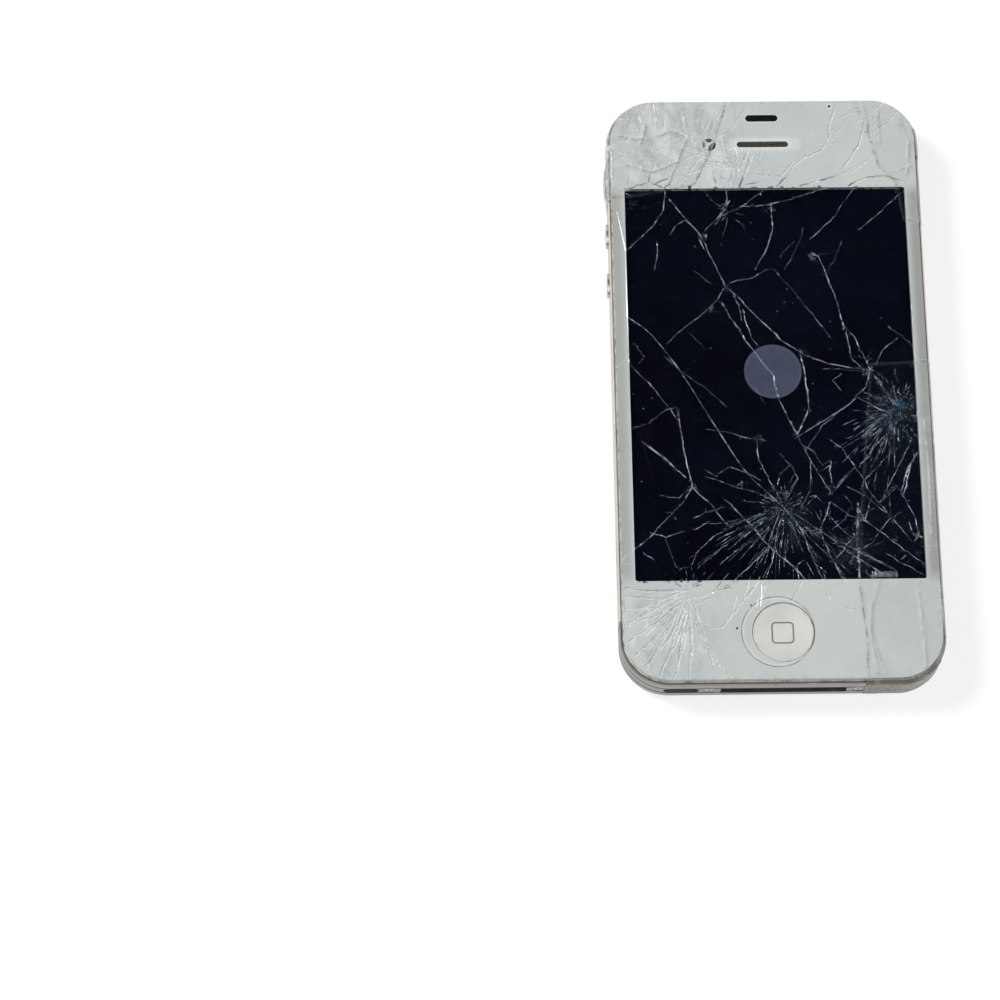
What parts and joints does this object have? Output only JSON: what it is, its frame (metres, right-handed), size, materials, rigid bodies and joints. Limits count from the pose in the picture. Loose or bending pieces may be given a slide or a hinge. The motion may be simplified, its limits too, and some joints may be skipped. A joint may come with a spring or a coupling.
{
  "type": "shattered screen phone",
  "caption": "Pocket phone with a steel band, keys and card tray; its white front glass is shattered all over, under scraps of torn protective film.",
  "frame": {"origin": "middle of the phone's outline on the plane of its back, which it lies on", "axes": "+X to the right seen from the front, +Y from the home button towards the earpiece, +Z out of the screen"},
  "size_m": [0.0596, 0.1157, 0.0094],
  "materials": {
    "white_glass": "gloss, shattered",
    "white_plastic": "satin",
    "cap_white": "satin",
    "display": "gloss",
    "band_steel": "satin, scuffed",
    "steel_sheet": "plain",
    "screw_steel": "plain",
    "black_plastic": "matte",
    "black_rubber": "matte",
    "ribbon": "satin",
    "gold": "satin",
    "lens_glass": "gloss",
    "battery_wrap": "satin",
    "circuit_board": "satin",
    "dark_mesh": "matte",
    "film": "dull, wrinkled"
  },
  "bodies": {
    "phone": {"front_glass": "white_glass", "rear_glass": "white_glass", "front_bezel": "white_plastic", "rear_frame": "white_plastic", "headphone_jack": "white_plastic", "battery_pull_tab": "white_plastic", "lcd_panel": "display", "lcd_backlight": "steel_sheet", "lcd_flex": "ribbon", "touch_flex": "ribbon", "home_gasket": "black_rubber", "home_switch": "steel_sheet", "earpiece_mesh": "gold", "earpiece_speaker": "black_plastic", "proximity_sensor": "lens_glass", "front_camera": "black_plastic", "band_top": "band_steel", "band_bottom": "band_steel", "band_left": "band_steel", "band_right": "band_steel", "break_strip_top_left": "black_plastic", "break_strip_top_right": "black_plastic", "break_strip_bottom_left": "black_plastic", "break_strip_bottom_right": "black_plastic", "mid_plate": "steel_sheet", "battery": "battery_wrap", "battery_connector": "black_plastic", "logic_board": "circuit_board", "board_chips": "black_plastic", "shield_upper": "steel_sheet", "shield_lower": "steel_sheet", "board_screws": "screw_steel", "rear_camera": "black_plastic", "camera_ring": "band_steel", "camera_window": "lens_glass", "camera_flash": "cap_white", "vibration_motor": "steel_sheet", "microphones": "steel_sheet", "sleep_switch": "steel_sheet", "key_bracket": "steel_sheet", "mute_switch_body": "black_plastic", "card_socket": "steel_sheet", "dock_socket": "steel_sheet", "dock_tongue": "black_plastic", "dock_contacts": "gold", "speaker_enclosure": "black_plastic", "loudspeaker": "black_plastic", "grille_meshes": "dark_mesh", "bottom_screws": "screw_steel", "film_top_left": "film", "film_top_right": "film", "film_lower_right": "film"},
    "home_button": {"home_button": "cap_white"},
    "sleep_key": {"sleep_key": "band_steel"},
    "volume_up_key": {"volume_up_key": "band_steel"},
    "volume_down_key": {"volume_down_key": "band_steel"},
    "mute_lever": {"mute_lever": "band_steel"},
    "card_tray": {"card_tray": "band_steel", "phone_card": "gold"},
    "motor_weight": {"motor_weight": "gold"}
  },
  "joints": [
    {"name": "home_press", "type": "slide", "parent": "phone", "child": "home_button", "axis": [0, 0, -1], "range_m": [0, 0.00025], "stiffness_N_per_m": 400, "springref_m": -0.002},
    {"name": "sleep_press", "type": "slide", "parent": "phone", "child": "sleep_key", "axis": [0, -1, 0], "range_m": [0, 0.0003], "stiffness_N_per_m": 400, "springref_m": -0.002},
    {"name": "volume_up_press", "type": "slide", "parent": "phone", "child": "volume_up_key", "axis": [1, 0, 0], "range_m": [0, 0.0003], "stiffness_N_per_m": 400, "springref_m": -0.002},
    {"name": "volume_down_press", "type": "slide", "parent": "phone", "child": "volume_down_key", "axis": [1, 0, 0], "range_m": [0, 0.0003], "stiffness_N_per_m": 400, "springref_m": -0.002},
    {"name": "mute_slide", "type": "slide", "parent": "phone", "child": "mute_lever", "axis": [0, 0, -1], "range_m": [0, 0.0013]},
    {"name": "tray_slide", "type": "slide", "parent": "phone", "child": "card_tray", "axis": [1, 0, 0], "range_m": [0, 0.013]},
    {"name": "weight_spin", "type": "hinge", "parent": "phone", "child": "motor_weight", "pos_m": [-0.0042, 0.0533, 0.0042], "axis": [1, 0, 0], "continuous": true}
  ]
}
